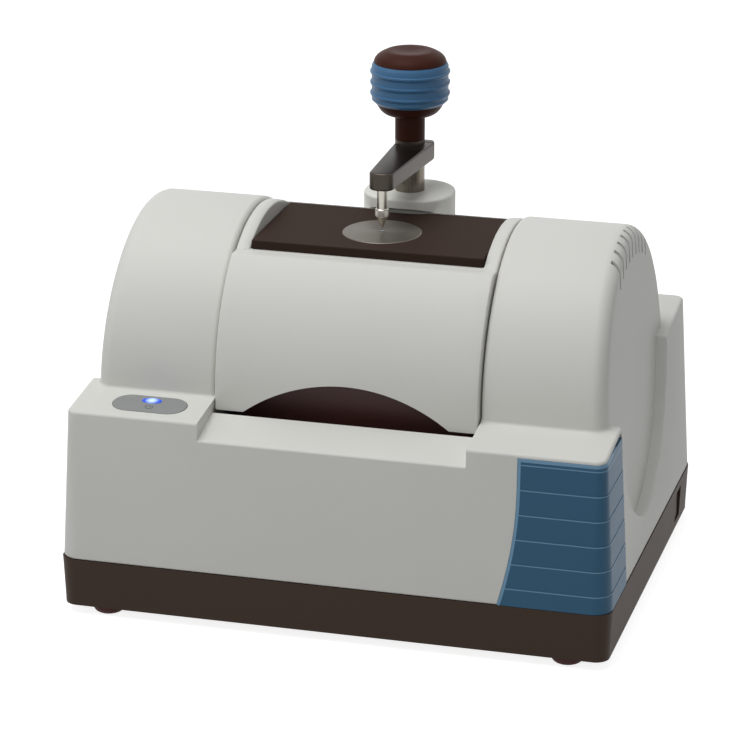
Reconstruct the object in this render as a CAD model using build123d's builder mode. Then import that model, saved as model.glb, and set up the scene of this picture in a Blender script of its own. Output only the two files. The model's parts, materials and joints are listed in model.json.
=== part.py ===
from build123d import *
from math import asin, atan, cos, degrees, radians, sin, sqrt, tan
import os

# A compact bench infrared spectrometer with a crystal accessory in its sample bay.
# Millimetres. X to the right, Y to the back, Z up. The origin is on the bench, under the middle
# of the footprint.

# Driving sizes: the outside
base_width = 450.0
base_depth = 350.0
base_height = 40.0
base_corner = 13.0
base_draft = 2.4
base_wall = 8.0
base_floor = 3.0
lock_slot_width = 20.0
lock_slot_height = 27.0
lock_slot_depth = 3.0
lock_slot_y = 120.5
foot_height = 8.0
foot_radius = 13.0
foot_inset_x = 36.0
foot_inset_y = 18.0
cover_reveal = 0.4
cover_step = 0.3
cover_draft = 3.2
cover_wall = 3.2
cover_corner = 15.0

# Platforms, ledge and rear deck: slopes whose start heights are set off from the arches' springing
front_line_inset = 8.1
platform_drop = 9.0
platform_slope = 6.1
ledge_drop = 23.0
ledge_slope = 13.3
deck_inset = 32.5
deck_rise = 8.4
deck_slope = 7.5

# Arched housings
housing_width = 116.5
arch_back_shift = 2.0
arch_height = 181.0
arch_reach = 118.5
arch_rise = 124.5
side_step = 9.0
housing_edge_round = 12.0
housing_wall_share = 1.8
bay_edge_round = 4.0
vent_count = 9
vent_pitch = 12.6
vent_first = -50.0
vent_width = 3.4
vent_length = 23.0
vent_top_reach = 7.0

# Sunk scoop in each side, under the arched housing
scoop_inset = 13.0
scoop_depth = 114.0
scoop_low_y = -26.0

# Sample bay
bay_front_room = 10.0
bay_back_room = 0.5
bay_floor_height = 63.0
bay_tray_wall = 2.0
bay_tray_height = 60.0
beam_drop = 31.0
beam_back = -2.0
window_radius = 20.0
window_thickness = 3.0

# Crystal accessory
accessory_gap = 4.5
hood_proud_reach = 4.3
hood_proud_rise = 5.5
hood_drop = 12.3
hood_back = 67.0
hood_wall = 3.0
hood_edge_round = 5.0
finger_half = 84.0
finger_rise = 28.5
rim_inset = 2.0
shell_wall = 3.0
rim_width = 8.7
plate_front = 62.0
plate_back = 47.0
plate_thickness = 7.5
plate_rise = 110.5
plate_gap = 0.7
disc_radius = 32.0
disc_thickness = 3.0
disc_back = -13.5
disc_proud = 0.9
crystal_radius = 1.6
crystal_proud = 0.3

# Pressure tower
tower_back = 74.0
tower_width = 74.6
tower_depth = 66.0
tower_corner = 30.0
tower_rise = 11.2
column_radius = 12.3
spigot_radius = 8.0
arm_rise = 36.5
arm_thickness = 14.5
arm_nose_half = 9.6
arm_nose_round = 8.0
arm_lobe_right = 19.6
arm_lobe_left = 12.6
arm_lobe_front = 4.0
arm_lobe_corner = 4.0
arm_eye_back = 13.0
arm_boss_height = 3.5
arm_slit = 1.4
pin_radius = 4.2
collar_radius = 5.4
collar_rise = 12.8
collar_height = 7.3
tip_clearance = 2.8
tip_point_radius = 0.9
sleeve_radius = 12.3
sleeve_length = 19.9
knob_height = 54.0
knob_radius = 31.4
grip_rise = 10.3
grip_height = 34.3
grip_thickness = 4.0
dimple_radius = 12.0
dimple_depth = 1.4
grip_ridge = 1.3
grip_ridge_pitch = 9.0

# Blue corner panel and the power key
panel_inset_top = 75.7
panel_inset_bottom = 90.8
panel_side_gap = 2.0
panel_depth = 2.0
panel_proud = 0.5
panel_bands = 6
panel_top_drop = 3.2
band_first = 14.6
band_height = 20.25
band_step = 0.35
key_inset_x = 69.5
key_inset_y = 32.0
key_length = 61.0
key_width = 28.0
key_height = 5.0
key_travel = 1.5
key_gap = 0.4
key_proud = 0.5
lamp_height = 1.4
lamp_proud = 0.5
lamp_y = 5.5
lamp_length = 16.5
lamp_width = 9.5

# Sockets in the back of the base, screws and inner parts
socket_window_width = 130.0
socket_window_height = 28.0
socket_plate_thickness = 2.0
socket_spacing = 34.0
socket_depth = 16.0
inlet_size = 16.0
inlet_hole = 10.0
port_size = 14.0
port_hole = 9.0
screw_inset_x = 40.0
screw_inset_y = 57.0
screw_radius = 2.0
pillar_height = 41.0
pillar_radius = 7.0
optics_inset_x = 27.0
optics_inset_y = 30.0
optics_plate_thickness = 6.0
source_y = 95.0
optic_radius = 21.0
mirror_block = 46.0
mirror_block_depth = 8.0
mirror_radius = 20.0
mirror_thickness = 4.0
carriage_y = -62.0
carriage_length = 26.0
mirror_travel = 5.0
rod_half = 22.0
rod_radius = 4.0
rod_length = 40.0
rod_block = 8.0
laser_inset_y = 80.0
laser_length = 100.0
laser_shift = 36.0
detector_y = -75.0
board_x = 40.0
board_width = 240.0
board_depth = 180.0
chassis_half = 95.0
chassis_front = 104.0
chassis_back = 44.0
chassis_wall = 2.5
accessory_base_thickness = 8.0
mirror_post_x = 50.0
mirror_post_radius = 6.0
mirror_post_top = 138.0

# Clearances
seat_gap = 0.3
running_gap = 0.1

os.makedirs("parts", exist_ok=True)

# Sizes worked out from the ones above
base_top = foot_height + base_height
cover_bottom = base_top + cover_step
cover_width = base_width - 2 * cover_reveal
cover_depth = base_depth - 2 * cover_reveal
face_lean = tan(radians(cover_draft))
arch_top = arch_height + arch_rise
arch_y = -arch_back_shift
cover_cut_top = arch_top + 60
side_reach = base_width / 2 + 40
front_line = base_depth / 2 - front_line_inset
platform_front_height = arch_height - platform_drop
ledge_front_height = arch_height - ledge_drop
deck_front = arch_reach - deck_inset
deck_front_height = arch_height + deck_rise
scoop_front = arch_reach - scoop_inset
scoop_low_height = deck_front_height - scoop_depth
bay_half = base_width / 2 - housing_width
bay_front = arch_reach + bay_front_room
bay_back = arch_reach + bay_back_room
beam_height = arch_height - beam_drop
accessory_half = bay_half - accessory_gap
hood_reach = arch_reach + hood_proud_reach
hood_rise = arch_rise + hood_proud_rise
hood_low_height = arch_height - hood_drop
rim_reach = arch_reach - rim_inset
rim_rise = arch_rise - rim_inset
plate_width = 2 * (accessory_half - rim_width)
plate_height = arch_height + plate_rise
tower_height = plate_height + tower_rise
arm_bottom = plate_height + arm_rise
collar_bottom = plate_height + collar_rise
panel_left_top = base_width / 2 - panel_inset_top
panel_left_bottom = base_width / 2 - panel_inset_bottom
panel_side_back = scoop_front + panel_side_gap
key_x = key_inset_x - base_width / 2
key_y = key_inset_y - base_depth / 2
screw_x = base_width / 2 - screw_inset_x
screw_y = base_depth / 2 - screw_inset_y
optics_plate_width = base_width - 2 * optics_inset_x
optics_plate_depth = base_depth - 2 * optics_inset_y
laser_y = base_depth / 2 - laser_inset_y

scoop_outline = [
    (-scoop_front, deck_front_height),
    (-scoop_front + 2.7, deck_front_height - 26.7),
    (-scoop_front + 11.2, deck_front_height - 63.1),
    (scoop_low_y - 43, scoop_low_height + 21),
    (scoop_low_y, scoop_low_height),
    (scoop_low_y + 41, scoop_low_height + 11),
    (deck_front - 29, deck_front_height - 71.8),
    (deck_front - 6.4, deck_front_height - 27.3),
    (deck_front, deck_front_height),
]


def platform_z(y):
    """Height of the platforms at a distance y."""
    return platform_front_height + (y + front_line) * tan(radians(platform_slope))


def ledge_z(y):
    """Height of the lower ledge in front of the bay at a distance y."""
    return ledge_front_height + (y + front_line) * tan(radians(ledge_slope))


def deck_z(y):
    """Height of the rear deck at a distance y."""
    return deck_front_height + (y - deck_front) * tan(radians(deck_slope))


def wall_x(z):
    """Outer face of the cover's right wall at a height z."""
    return cover_width / 2 - (z - cover_bottom) * face_lean


def face_x(z):
    """Side face of the right arched housing at a height z."""
    return wall_x(z) - side_step


def arch_z(y, grow=0.0):
    """Height of the arched housings over a distance y."""
    reach = arch_reach + grow
    share = max(0.0, 1 - ((y - arch_y) / reach) ** 2)
    return arch_height + (arch_rise + grow) * sqrt(share)


def save(part, name):
    """Name a finished piece and write it."""
    part.label = name
    export_step(part, f"parts/{name}.step")


def arch_bar(reach, rise, low, x_from, x_to):
    """An arch-shaped bar along X: half an ellipse standing on straight legs."""
    with BuildPart() as bar:
        with BuildSketch(Plane.YZ.offset(x_from)):
            with BuildLine():
                left = (arch_y - reach, arch_height)
                right = (arch_y + reach, arch_height)
                EllipticalCenterArc((arch_y, arch_height), reach, rise, start_angle=0, arc_size=180)
                Polyline(left, (arch_y - reach, low), (arch_y + reach, low), right)
            make_face()
        extrude(amount=x_to - x_from)
    return bar.part


def beyond_plane(shift, side):
    """Everything outside the leaning side face of one arched housing, moved inwards by shift."""
    low, high = 0.0, cover_cut_top
    with BuildPart() as wedge:
        with BuildSketch(Plane.XZ.offset(-side_reach)):
            with BuildLine():
                Polyline(
                    (side * (face_x(low) - shift), low),
                    (side * side_reach, low),
                    (side * side_reach, high),
                    (side * (face_x(high) - shift), high),
                    close=True,
                )
            make_face()
        extrude(amount=2 * side_reach)
    return wedge.part


def scoop_prism(grow, side):
    """The U outline of the side scoop, standing open at the top, and grown about its middle."""
    start = bay_half + 20
    middle = (deck_front - scoop_front) / 2
    stretch = 1 + grow / (deck_front - middle)
    points = [
        (
            middle + stretch * (y - middle),
            arch_height + stretch * (z - arch_height),
        )
        for y, z in scoop_outline
    ]
    front, rear = points[0], points[-1]
    with BuildPart() as prism:
        with BuildSketch(Plane.YZ.offset(start if side > 0 else -side_reach)):
            with BuildLine():
                Spline(*points)
                Polyline(rear, (rear[0], cover_cut_top), (front[0], cover_cut_top), front)
            make_face()
        extrude(amount=side_reach - start)
    return prism.part


def cover_form(inset):
    """The cover's outside, or with an inset its hollow, which follows it one wall further in."""
    low = cover_bottom if inset == 0 else cover_bottom - 5
    with BuildPart() as body:
        with BuildSketch(Plane.XY.offset(cover_bottom)):
            RectangleRounded(cover_width - 2 * inset, cover_depth - 2 * inset, cover_corner - inset)
        extrude(amount=deck_z(front_line) + 15 - cover_bottom, taper=cover_draft)
        if inset > 0:
            with BuildSketch(Plane.XY.offset(low)):
                RectangleRounded(cover_width - 2 * inset, cover_depth - 2 * inset, cover_corner - inset)
            extrude(amount=cover_bottom - low)
        with BuildSketch(Plane.YZ.offset(-side_reach)):
            with BuildLine():
                Polyline(
                    (-base_depth, platform_z(-base_depth) - inset),
                    (-scoop_front + 3, platform_z(-scoop_front + 3) - inset),
                    (-scoop_front + 3, deck_front_height - 8 - inset),
                    (deck_front - 14, deck_front_height - 8 - inset),
                    (deck_front - 14, deck_z(deck_front - 14) - inset),
                    (base_depth, deck_z(base_depth) - inset),
                    (base_depth, cover_cut_top),
                    (-base_depth, cover_cut_top),
                    close=True,
                )
            make_face()
        extrude(amount=2 * side_reach, mode=Mode.SUBTRACT)
        for side in (-1, 1):
            scoop = scoop_prism(inset, side) & beyond_plane(inset, side)
            add(scoop, mode=Mode.SUBTRACT)
        for side in (-1, 1):
            inner, outer = bay_half + inset, side_reach - 20
            bar = arch_bar(
                arch_reach - inset,
                arch_rise - inset,
                low + 20,
                inner if side > 0 else -outer,
                outer if side > 0 else -inner,
            )
            add(bar - beyond_plane(inset * housing_wall_share, side))
        ledge_half = bay_half + inset
        with BuildSketch(Plane.YZ.offset(-ledge_half)):
            with BuildLine():
                Polyline(
                    (-base_depth, ledge_z(-base_depth) - inset),
                    (-bay_front, ledge_z(-bay_front) - inset),
                    (-bay_front, cover_cut_top),
                    (-base_depth, cover_cut_top),
                    close=True,
                )
            make_face()
        extrude(amount=2 * ledge_half, mode=Mode.SUBTRACT)
    return body.part


def bay_block(grow):
    """The sample bay's well, open at the top, or grown by a wall to make the wall round it."""
    length = bay_front + bay_back + 2 * grow
    middle = (bay_back - bay_front) / 2
    with BuildPart() as well:
        with Locations((0, middle, bay_floor_height - grow)):
            Box(
                2 * (bay_half + grow),
                length,
                cover_cut_top - bay_floor_height,
                align=(Align.CENTER, Align.CENTER, Align.MIN),
            )
    return well.part


def edges_where(part, test):
    """The edges whose middle point and box pass a test."""
    return [edge for edge in part.edges() if test(edge.center(), edge.bounding_box())]


def near(value, target, slack=1.0):
    """Whether a value lies close to a target."""
    return abs(value - target) < slack


def panel_region(grow):
    """The front right corner that the blue panel covers: right of its flared edge, before its back."""
    with BuildPart() as region:
        with BuildSketch(Plane.XZ.offset(panel_side_back - grow)):
            with BuildLine():
                low = (panel_left_bottom - grow, base_top - 5)
                bend = (panel_left_top - grow, cover_bottom + 0.75 * panel_height)
                top = (panel_left_top - grow, cover_bottom + panel_height + 30)
                Spline(low, bend, tangents=((0.28, 1), (0, 1)))
                Polyline(bend, top, (side_reach, top[1]), (side_reach, low[1]), low)
            make_face()
        extrude(amount=side_reach)
        with BuildSketch(Plane.YZ):
            with BuildLine():
                drop = panel_top_drop - grow
                Polyline(
                    (-side_reach, platform_z(-side_reach) - drop),
                    (0, platform_z(0) - drop),
                    (0, cover_cut_top),
                    (-side_reach, cover_cut_top),
                    close=True,
                )
            make_face()
        extrude(amount=side_reach, mode=Mode.SUBTRACT)
    return region.part


def drafted_block(inset, height):
    """The lower body's drafted outside, drawn in by an inset."""
    with BuildPart() as block:
        with BuildSketch(Plane.XY.offset(cover_bottom)):
            RectangleRounded(cover_width - 2 * inset, cover_depth - 2 * inset, cover_corner - inset)
        extrude(amount=height, taper=cover_draft)
    return block.part


def key_plane(rise):
    """The sloping platform's plane at the power key, raised along its own normal."""
    plane = Plane(
        origin=(key_x, key_y, platform_z(key_y)),
        x_dir=(1, 0, 0),
        z_dir=(0, -sin(radians(platform_slope)), cos(radians(platform_slope))),
    )
    return plane.offset(rise)


panel_height = platform_z(-front_line) - cover_bottom
hollow = cover_form(cover_wall) - bay_block(cover_wall)
platform_back = arch_y - arch_reach

# White cover: one moulding with platforms, ledge, arched housings, deck and side scoops
with BuildPart() as main_cover:
    add(cover_form(0))
    add(bay_block(0), mode=Mode.SUBTRACT)
    arch_ends = lambda x: edges_where(
        main_cover.part,
        lambda c, b: (b.max.Z > arch_top - 5 and b.min.Z < arch_height + 4 and near(abs(c.X), x, 9))
        or (near(abs(c.X), x, 9) and near(c.Y, platform_back) and b.max.Z < arch_height + 1
            and near(b.max.X - b.min.X, 0, 2)),
    )
    fillet(arch_ends(face_x(280)), radius=housing_edge_round)
    fillet(arch_ends(bay_half), radius=bay_edge_round)
    fillet(
        edges_where(
            main_cover.part,
            lambda c, b: c.Y < platform_back and b.min.Z > platform_front_height - 1
            and b.max.Z < platform_z(-scoop_front) + 1 and abs(c.X) > bay_half + 10
            and b.max.Y < -scoop_front + 1 and not near(c.Y, platform_back),
        ),
        radius=2.8,
    )
    fillet(
        edges_where(main_cover.part, lambda c, b: near(c.Z, ledge_front_height, 1.5) and c.Y < -front_line + 3),
        radius=2.4,
    )
    fillet(
        edges_where(
            main_cover.part,
            lambda c, b: near(c.Y, platform_back, 0.5) and near(c.Z, platform_z(platform_back), 0.8)
            and b.max.X - b.min.X > 60,
        ),
        radius=3,
    )
    fillet(
        edges_where(
            main_cover.part,
            lambda c, b: (c.Y > front_line - 9 and c.Z > deck_z(front_line) - 8 and b.max.Z - b.min.Z < 4)
            or (near(abs(c.X), wall_x(deck_front_height + 4)) and b.max.Y > front_line - 14
                and b.min.Y < deck_front + 1),
        ),
        radius=3,
    )
    scoop_lips = edges_where(
        main_cover.part,
        lambda c, b: b.max.Y - b.min.Y > 150 and b.min.Z < scoop_low_height + 3
        and abs(c.X) > face_x(scoop_low_height) + 3,
    )
    fillet(scoop_lips, radius=1.4)
    add(hollow, mode=Mode.SUBTRACT)
    pocket = panel_region(seat_gap) - drafted_block(panel_depth, panel_height + 40)
    add(pocket, mode=Mode.SUBTRACT)
    with BuildSketch(key_plane(-cover_wall - 2)):
        SlotOverall(key_length + 2 * key_gap, key_width + 2 * key_gap)
    extrude(amount=cover_wall + 6, mode=Mode.SUBTRACT)
    with BuildSketch(Plane.YZ.offset(-bay_half - cover_wall - 1)):
        with Locations((beam_back, beam_height)):
            Circle(window_radius)
    extrude(amount=2 * (bay_half + cover_wall + 1), mode=Mode.SUBTRACT)
    vent_places = [vent_first + i * vent_pitch for i in range(vent_count)]
    for y in vent_places:
        top = arch_z(y)
        with Locations((face_x(top) - vent_top_reach, y, top - vent_length)):
            Box(40, vent_width, 60, align=(Align.MIN, Align.CENTER, Align.MIN), mode=Mode.SUBTRACT)
save(main_cover.part, "main_cover")

# Blue corner panel: six lapped bands round the front right corner
with BuildPart() as corner_panel:
    for i in range(panel_bands):
        low = cover_bottom if i == 0 else cover_bottom + band_first + (i - 1) * band_height
        height = band_first if i == 0 else band_height
        if i == panel_bands - 1:
            height += 2 * panel_top_drop
        band_taper = cover_draft - degrees(atan(band_step / height))
        grow = panel_proud - band_step - (low - cover_bottom) * face_lean
        with BuildSketch(Plane.XY.offset(low)):
            RectangleRounded(cover_width + 2 * grow, cover_depth + 2 * grow, cover_corner + grow)
        extrude(amount=height, taper=band_taper)
    add(panel_region(0), mode=Mode.INTERSECT)
    add(drafted_block(panel_depth - seat_gap, panel_height + 40), mode=Mode.SUBTRACT)
save(corner_panel.part, "corner_panel")

# Dark base tray with the lock slot in its right side and the socket window in its back
with BuildPart() as base_plinth:
    with BuildSketch(Plane.XY.offset(base_top)):
        RectangleRounded(base_width, base_depth, base_corner)
    extrude(amount=-base_height, taper=base_draft)
    with BuildSketch(Plane.XY.offset(foot_height + base_floor)):
        RectangleRounded(base_width - 2 * base_wall, base_depth - 2 * base_wall, base_corner - 5)
    extrude(amount=base_height, mode=Mode.SUBTRACT)
    with Locations((base_width / 2 - lock_slot_depth, lock_slot_y, foot_height + base_height / 2)):
        Box(20, lock_slot_width, lock_slot_height, align=(Align.MIN, Align.CENTER, Align.CENTER),
            mode=Mode.SUBTRACT)
    with Locations((0, base_depth / 2 - base_wall / 2, foot_height + base_height / 2)):
        Box(socket_window_width, 3 * base_wall, socket_window_height, mode=Mode.SUBTRACT)
    with Locations((0, 0, foot_height + base_floor)):
        with GridLocations(2 * screw_x, 2 * screw_y, 2, 2):
            Hole(screw_radius + running_gap, depth=base_floor + 1)
save(base_plinth.part, "base_plinth")

# Four domed feet
foot_x = base_width / 2 - foot_inset_x
foot_y = base_depth / 2 - foot_inset_y
with BuildPart() as rubber_feet:
    with Locations((0, 0, 0)):
        with GridLocations(2 * foot_x, 2 * foot_y, 2, 2):
            Cylinder(foot_radius, foot_height, align=(Align.CENTER, Align.CENTER, Align.MIN))
    fillet(rubber_feet.edges().group_by(Axis.Z)[0], radius=foot_height * 0.62)
save(rubber_feet.part, "rubber_feet")

# Power key and its lamp
with BuildPart() as power_key:
    with BuildSketch(key_plane(key_proud - key_height)):
        SlotOverall(key_length, key_width)
    extrude(amount=key_height)
    fillet(power_key.faces().sort_by(Axis.Z)[-1].edges(), radius=0.4)
    with BuildSketch(key_plane(key_proud - lamp_height)):
        with Locations((0, lamp_y)):
            Ellipse(lamp_length / 2, lamp_width / 2)
    extrude(amount=lamp_height + 2, mode=Mode.SUBTRACT)
save(power_key.part, "power_key")

with BuildPart() as status_lamp:
    with BuildSketch(key_plane(key_proud - lamp_height)):
        with Locations((0, lamp_y)):
            Ellipse(lamp_length / 2 - 0.1, lamp_width / 2 - 0.1)
    extrude(amount=lamp_height + lamp_proud)
    fillet(status_lamp.faces().sort_by(Axis.Z)[-1].edges(), radius=0.4)
save(status_lamp.part, "status_lamp")

# Dark tray lining the bottom of the bay, and the two beam windows in the bay's walls
bay_length = bay_front + bay_back
bay_middle = (bay_back - bay_front) / 2
tray_bottom = bay_floor_height + seat_gap
with BuildPart() as bay_tray:
    with Locations((0, bay_middle, tray_bottom)):
        Box(2 * (bay_half - seat_gap), bay_length - 2 * seat_gap, bay_tray_height,
            align=(Align.CENTER, Align.CENTER, Align.MIN))
    top_face = bay_tray.faces().sort_by(Axis.Z)[-1]
    offset(amount=-bay_tray_wall, openings=top_face)
save(bay_tray.part, "bay_tray")

with BuildPart() as bay_windows:
    for side in (-1, 1):
        with BuildSketch(Plane.YZ.offset(side * (bay_half + cover_wall / 2) - window_thickness / 2)):
            with Locations((beam_back, beam_height)):
                Circle(window_radius - seat_gap)
        extrude(amount=window_thickness)
save(bay_windows.part, "bay_windows")

# Optics plate on pillars
plate_low = foot_height + base_floor + pillar_height
optics_top = plate_low + optics_plate_thickness
with BuildPart() as plate_pillars:
    with Locations((0, 0, foot_height + base_floor)):
        with GridLocations(optics_plate_width - 30, optics_plate_depth - 30, 2, 2):
            Cylinder(pillar_radius, pillar_height, align=(Align.CENTER, Align.CENTER, Align.MIN))
save(plate_pillars.part, "plate_pillars")

with BuildPart() as optics_plate:
    with Locations((0, 0, plate_low)):
        Box(optics_plate_width, optics_plate_depth, optics_plate_thickness,
            align=(Align.CENTER, Align.CENTER, Align.MIN))
    chamfer(optics_plate.edges().filter_by(Axis.Z), length=12)
    with Locations((0, 0, plate_low)):
        with GridLocations(60, 60, 3, 3):
            Hole(12)
save(optics_plate.part, "optics_plate")


def post(x, y, top, radius=7.0):
    """A round post on the optics plate."""
    with Locations((x, y, optics_top)):
        Cylinder(radius, top - optics_top, align=(Align.CENTER, Align.CENTER, Align.MIN))


def turned_plane(x, y, turn):
    """An upright plane through the beam at one place, its normal turned from +X about Z."""
    direction = (cos(radians(turn)), sin(radians(turn)), 0)
    return Plane(origin=(x, y, beam_height), x_dir=(-direction[1], direction[0], 0), z_dir=direction)


split_x = -(bay_half + 52)
detector_x = bay_half + 52

# Heated source in its finned housing, with its collimating mirror
with BuildPart() as source_housing:
    with Locations((split_x, source_y, optics_top)):
        Box(46, 46, beam_height + 26 - optics_top, align=(Align.CENTER, Align.CENTER, Align.MIN))
    with Locations((split_x, source_y - 12, beam_height)):
        Box(26, 40, 26, mode=Mode.SUBTRACT)
    with Locations((split_x, source_y + 23, beam_height - 30)):
        with GridLocations(8, 1, 6, 1):
            Box(2.5, 12, 90)
save(source_housing.part, "source_housing")

with BuildPart() as ir_source:
    with Locations((split_x, source_y, beam_height - 13)):
        Cylinder(2.5, 20, align=(Align.CENTER, Align.CENTER, Align.MIN))
save(ir_source.part, "ir_source")

# Beamsplitter in its ring mount, turned half a right angle to the beam
with BuildPart() as beamsplitter_mount:
    post(split_x, beam_back, beam_height - 27)
    with BuildSketch(turned_plane(split_x, beam_back, 45).offset(-5)):
        Circle(28)
        Circle(optic_radius, mode=Mode.SUBTRACT)
    extrude(amount=10)
save(beamsplitter_mount.part, "beamsplitter_mount")

with BuildPart() as beamsplitter:
    with BuildSketch(turned_plane(split_x, beam_back, 45).offset(-3)):
        Circle(optic_radius - seat_gap)
    extrude(amount=6)
save(beamsplitter.part, "beamsplitter")


def mirror_on_post(name, x, y, turn):
    """A round mirror in front of a square block on a post."""
    with BuildPart() as mirror:
        post(x, y, beam_height - mirror_block / 2)
        with BuildSketch(turned_plane(x, y, turn).offset(-mirror_block_depth / 2)):
            Rectangle(mirror_block, mirror_block)
        extrude(amount=mirror_block_depth)
        with BuildSketch(turned_plane(x, y, turn).offset(mirror_block_depth / 2)):
            Circle(mirror_radius)
        extrude(amount=mirror_thickness)
    save(mirror.part, name)


mirror_on_post("fixed_mirror", split_x - 34, beam_back, 0)
mirror_on_post("detector_mirror", detector_x, beam_back, 135)

# Moving mirror on its carriage, which runs on two rods between end blocks
rod_z = beam_height - 32
with BuildPart() as guide_rods:
    for x in (-rod_half, rod_half):
        with BuildSketch(Plane.XZ.offset(-(carriage_y + rod_length / 2))):
            with Locations((split_x + x, rod_z)):
                Circle(rod_radius)
        extrude(amount=rod_length)
    for y in (carriage_y - rod_length / 2 - rod_block / 2, carriage_y + rod_length / 2 + rod_block / 2):
        with Locations((split_x, y, optics_top)):
            Box(2 * rod_half + 16, rod_block, rod_z + 8 - optics_top,
                align=(Align.CENTER, Align.CENTER, Align.MIN))
save(guide_rods.part, "guide_rods")

with BuildPart() as mirror_carriage:
    with Locations((split_x, carriage_y, rod_z)):
        Box(2 * rod_half + 14, carriage_length, 16)
    with Locations((split_x, carriage_y, beam_height)):
        Box(44, 8, 52)
    with Locations((split_x, carriage_y, (rod_z + beam_height) / 2)):
        Box(30, 8, 30)
    for x in (-rod_half, rod_half):
        with BuildSketch(Plane.XZ.offset(-(carriage_y + carriage_length))):
            with Locations((split_x + x, rod_z)):
                Circle(rod_radius + running_gap)
        extrude(amount=2 * carriage_length, mode=Mode.SUBTRACT)
save(mirror_carriage.part, "mirror_carriage")

with BuildPart() as moving_mirror:
    with BuildSketch(Plane.XZ.offset(-(carriage_y + 4 + 4))):
        with Locations((split_x, beam_height)):
            Circle(20)
    extrude(amount=4)
save(moving_mirror.part, "moving_mirror")

with BuildPart() as drive_magnet:
    with BuildSketch(Plane.XZ.offset(-(carriage_y - carriage_length / 2 - mirror_travel - 2))):
        with Locations((split_x, beam_height)):
            Circle(15)
    extrude(amount=26)
    post(split_x, carriage_y - carriage_length / 2 - mirror_travel - 20, beam_height - 10)
save(drive_magnet.part, "drive_magnet")

# Reference laser tube, detector, and the electronics on the tray's floor
with BuildPart() as reference_laser:
    with BuildSketch(Plane.XZ.offset(-(laser_y + laser_length / 2))):
        with Locations((split_x - laser_shift, beam_height - 55)):
            Circle(11)
    extrude(amount=laser_length)
    for y in (laser_y - laser_length / 3, laser_y + laser_length / 3):
        with Locations((split_x - laser_shift, y, optics_top)):
            Box(16, 8, beam_height - 60 - optics_top, align=(Align.CENTER, Align.CENTER, Align.MIN))
save(reference_laser.part, "reference_laser")

with BuildPart() as detector:
    post(detector_x, detector_y, beam_height - 10, radius=9)
    with Locations((detector_x, detector_y, beam_height)):
        Box(34, 24, 34)
    with BuildSketch(Plane.XZ.offset(-(detector_y - 12 + 0.01))):
        with Locations((detector_x, beam_height)):
            Circle(8)
    extrude(amount=6)
save(detector.part, "detector")

board_z = foot_height + base_floor
with BuildPart() as electronics_board:
    with Locations((board_x, 0, board_z)):
        with GridLocations(board_width - 16, board_depth - 16, 2, 2):
            Cylinder(4, 8, align=(Align.CENTER, Align.CENTER, Align.MIN))
    with Locations((board_x, 0, board_z + 8)):
        Box(board_width, board_depth, 1.6, align=(Align.CENTER, Align.CENTER, Align.MIN))
    with Locations((board_x - 30, 20, board_z + 9.6)):
        Box(34, 34, 4, align=(Align.CENTER, Align.CENTER, Align.MIN))
    with Locations((board_x + 20, -10, board_z + 9.6)):
        with GridLocations(22, 26, 2, 3):
            Box(14, 18, 6, align=(Align.CENTER, Align.CENTER, Align.MIN))
save(electronics_board.part, "electronics_board")

# Socket plate in the back of the base, with the power inlet and the data port
socket_z = foot_height + base_height / 2
plate_y = base_depth / 2 - base_wall + 2
with BuildPart() as socket_plate:
    with Locations((0, plate_y, socket_z)):
        Box(socket_window_width - 2 * seat_gap, socket_plate_thickness, socket_window_height - 2 * seat_gap)
    with Locations((-socket_spacing, plate_y, socket_z)):
        Box(inlet_size + 2 * seat_gap, 20, inlet_size + 2 * seat_gap, mode=Mode.SUBTRACT)
    with Locations((socket_spacing, plate_y, socket_z)):
        Box(port_size + 2 * seat_gap, 20, port_size + 2 * seat_gap, mode=Mode.SUBTRACT)
save(socket_plate.part, "socket_plate")

for name, x, size, hole in (
    ("power_inlet", -socket_spacing, inlet_size, inlet_hole),
    ("data_port", socket_spacing, port_size, port_hole),
):
    with BuildPart() as socket:
        with Locations((x, plate_y + 2, socket_z)):
            Box(size, socket_depth, size, align=(Align.CENTER, Align.MAX, Align.CENTER))
            Box(hole, 2 * (socket_depth - 3), hole, mode=Mode.SUBTRACT)
    save(socket.part, name)

# Screws that hold the cover from below
with BuildPart() as cover_screws:
    with Locations((0, 0, foot_height)):
        with GridLocations(2 * screw_x, 2 * screw_y, 2, 2):
            Cylinder(screw_radius, base_floor, align=(Align.CENTER, Align.CENTER, Align.MIN))
            Cylinder(4.5, 2.2, align=(Align.CENTER, Align.CENTER, Align.MAX))
save(cover_screws.part, "cover_screws")

# Crystal accessory: its base, inner chassis and transfer mirrors
accessory_low = tray_bottom + bay_tray_wall + seat_gap
chassis_low = accessory_low + accessory_base_thickness
deck_top = plate_height - plate_thickness
with BuildPart() as accessory_base:
    with Locations((0, (bay_back - bay_front) / 2, accessory_low)):
        Box(2 * accessory_half - 8, bay_length - 20, accessory_base_thickness,
            align=(Align.CENTER, Align.CENTER, Align.MIN))
    fillet(accessory_base.edges().filter_by(Axis.Z), radius=6)
save(accessory_base.part, "accessory_base")


def beam_bar(radius):
    """A bar along the beam's way from side to side, to cut the holes that let it through."""
    with BuildPart() as bar:
        with BuildSketch(Plane.YZ.offset(-accessory_half - 5)):
            with Locations((beam_back, beam_height)):
                Circle(radius)
        extrude(amount=2 * accessory_half + 10)
    return bar.part


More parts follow.
